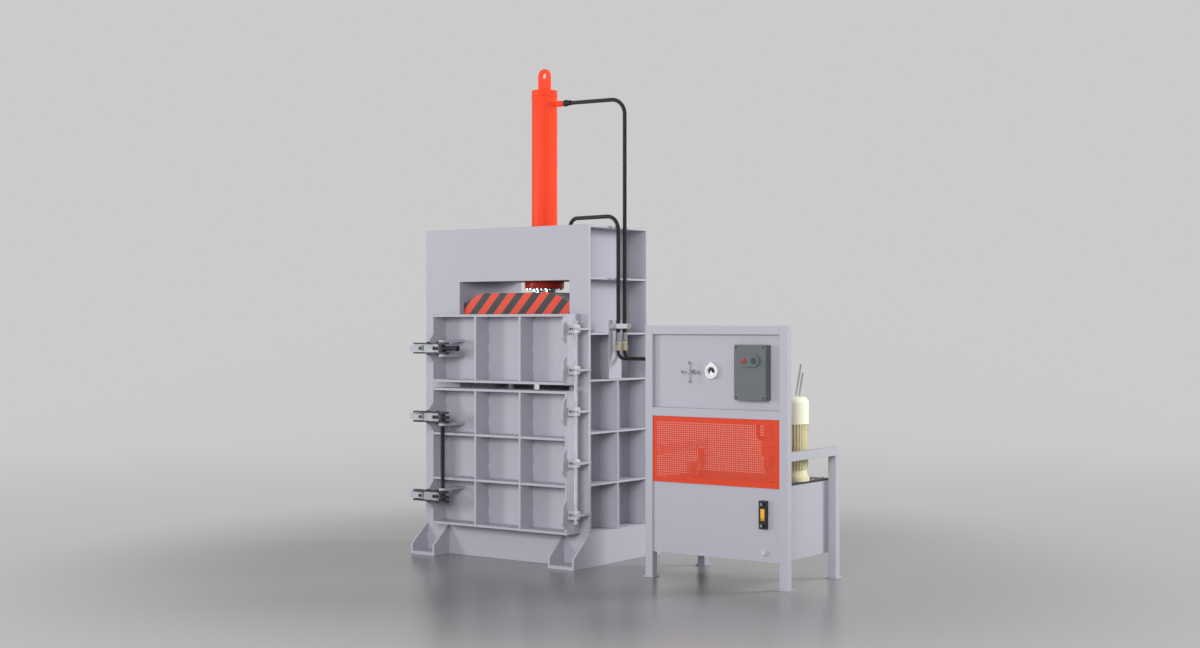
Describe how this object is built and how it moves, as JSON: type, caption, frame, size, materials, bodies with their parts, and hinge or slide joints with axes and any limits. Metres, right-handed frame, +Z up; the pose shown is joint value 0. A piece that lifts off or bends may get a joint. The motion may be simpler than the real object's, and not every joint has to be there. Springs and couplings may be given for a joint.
{
  "type": "recycling baler",
  "caption": "Vertical hydraulic baler with barred feed and bale doors, swing latches and a press under a tall cylinder, piped to a separate power pack with tank, motor and hand valve.",
  "frame": {"origin": "on the floor, at the centre of the rectangle of anchor holes in the baler's four feet", "axes": "+X right along the front, from the baler to the power pack; +Y to the back; +Z up along the press stroke's axis"},
  "size_m": [2.759, 1.02, 3.137],
  "materials": {
    "body_paint": "satin paint, light lilac-grey",
    "frame_paint": "satin paint, light lilac-grey",
    "cylinder_paint": "gloss paint, red-orange",
    "guard_paint": "satin paint, red-orange",
    "motor_paint": "gloss paint, cream",
    "starter_paint": "satin paint, grey-green",
    "dark_steel": "blackened steel",
    "bright_steel": "machined steel",
    "chrome_rod": "hard chrome",
    "fitting_brass": "machined brass",
    "hose_rubber": "black hose cover",
    "press_paint": "warning stripes, red-orange and dark grey",
    "gauge_white": "white enamel",
    "button_red": "red button",
    "button_green": "green button",
    "black_plastic": "black plastic"
  },
  "bodies": {
    "baler": {"front_plate": "body_paint", "rear_plate": "body_paint", "chamber_walls": "body_paint", "top_plate": "body_paint", "base": "body_paint", "side_ribs": "body_paint", "strap_guides": "body_paint", "cylinder_beams": "body_paint", "anchor_feet": "body_paint", "hinge_lugs": "body_paint", "hinge_rod": "dark_steel", "latch_keepers": "body_paint", "keeper_screws": "dark_steel", "cylinder_barrel": "cylinder_paint", "cylinder_cap": "cylinder_paint", "cylinder_gland": "cylinder_paint", "gland_screws": "dark_steel", "port_fittings": "cylinder_paint", "hose_top": "hose_rubber", "hose_bottom": "hose_rubber", "hose_bracket": "body_paint", "hose_clamp": "dark_steel", "pipe_unions": "fitting_brass", "supply_pipes": "dark_steel", "pack_frame": "frame_paint", "control_panel": "frame_paint", "mesh_guard": "guard_paint", "oil_tank": "frame_paint", "tank_lid": "frame_paint", "tank_fittings": "bright_steel", "level_gauge": "black_plastic", "motor_body": "motor_paint", "motor_cowl": "motor_paint", "gear_pump": "dark_steel", "hand_valve": "dark_steel", "pressure_gauge": "gauge_white", "starter_box": "starter_paint"},
    "ram": {"ram_piston": "bright_steel", "ram_rod": "chrome_rod", "rod_flange": "dark_steel", "platen": "press_paint"},
    "upper_door": {"upper_door_panel": "body_paint", "upper_door_frame": "body_paint", "upper_hinge_blocks": "dark_steel"},
    "lower_door": {"lower_door_panel": "body_paint", "lower_door_frame": "body_paint", "lower_hinge_blocks": "dark_steel"},
    "upper_latch": {"upper_latch_shaft": "dark_steel", "upper_hook_plates": "dark_steel", "upper_clamp_block": "body_paint"},
    "lower_latch": {"lower_latch_rod": "dark_steel", "lower_hook_plates": "dark_steel", "lower_clamp_blocks": "body_paint"},
    "rotor": {"motor_rotor": "bright_steel"},
    "lever_left": {"left_valve_lever": "bright_steel"},
    "lever_right": {"right_valve_lever": "bright_steel"},
    "pointer": {"gauge_pointer": "gauge_white"},
    "handwheel": {"panel_handwheel": "bright_steel"},
    "stop": {"stop_button": "button_red"},
    "start": {"start_button": "button_green"}
  },
  "joints": [
    {"name": "ram_slide", "type": "slide", "parent": "baler", "child": "ram", "axis": [0, 0, -1], "range_m": [0, 0.96]},
    {"name": "upper_door_swing", "type": "hinge", "parent": "baler", "child": "upper_door", "pos_m": [0.648, -0.433, 0], "axis": [0, 0, 1], "range_deg": [0, 110]},
    {"name": "lower_door_swing", "type": "hinge", "parent": "baler", "child": "lower_door", "pos_m": [0.648, -0.433, 0], "axis": [0, 0, 1], "range_deg": [0, 110]},
    {"name": "upper_latch_turn", "type": "hinge", "parent": "upper_door", "child": "upper_latch", "pos_m": [-0.34, -0.523, 1.335], "axis": [0, 0, 1], "range_deg": [0, 100]},
    {"name": "lower_latch_turn", "type": "hinge", "parent": "lower_door", "child": "lower_latch", "pos_m": [-0.34, -0.523, 0.645], "axis": [0, 0, 1], "range_deg": [0, 100]},
    {"name": "rotor_spin", "type": "hinge", "parent": "baler", "child": "rotor", "pos_m": [1.902, -0.08, 0.8], "axis": [0, 0, 1], "continuous": true},
    {"name": "left_lever_tilt", "type": "hinge", "parent": "baler", "child": "lever_left", "pos_m": [1.797, 0.15, 0.84], "axis": [1, 0, 0], "range_deg": [-15, 15], "stiffness_Nm_per_rad": 20},
    {"name": "right_lever_tilt", "type": "hinge", "parent": "baler", "child": "lever_right", "pos_m": [1.819, 0.15, 0.84], "axis": [1, 0, 0], "range_deg": [-15, 15], "stiffness_Nm_per_rad": 20},
    {"name": "pointer_turn", "type": "hinge", "parent": "baler", "child": "pointer", "pos_m": [1.585, -0.39, 1.218], "axis": [0, 1, 0], "range_deg": [0, 270], "stiffness_Nm_per_rad": 0.005},
    {"name": "handwheel_turn", "type": "hinge", "parent": "baler", "child": "handwheel", "pos_m": [1.451, -0.412, 1.214], "axis": [0, 1, 0], "range_deg": [0, 360]},
    {"name": "stop_press", "type": "slide", "parent": "baler", "child": "stop", "axis": [0, 1, 0], "range_m": [0, 0.004], "stiffness_N_per_m": 800, "springref_m": -0.003},
    {"name": "start_press", "type": "slide", "parent": "baler", "child": "start", "axis": [0, 1, 0], "range_m": [0, 0.004], "stiffness_N_per_m": 800, "springref_m": -0.003}
  ]
}
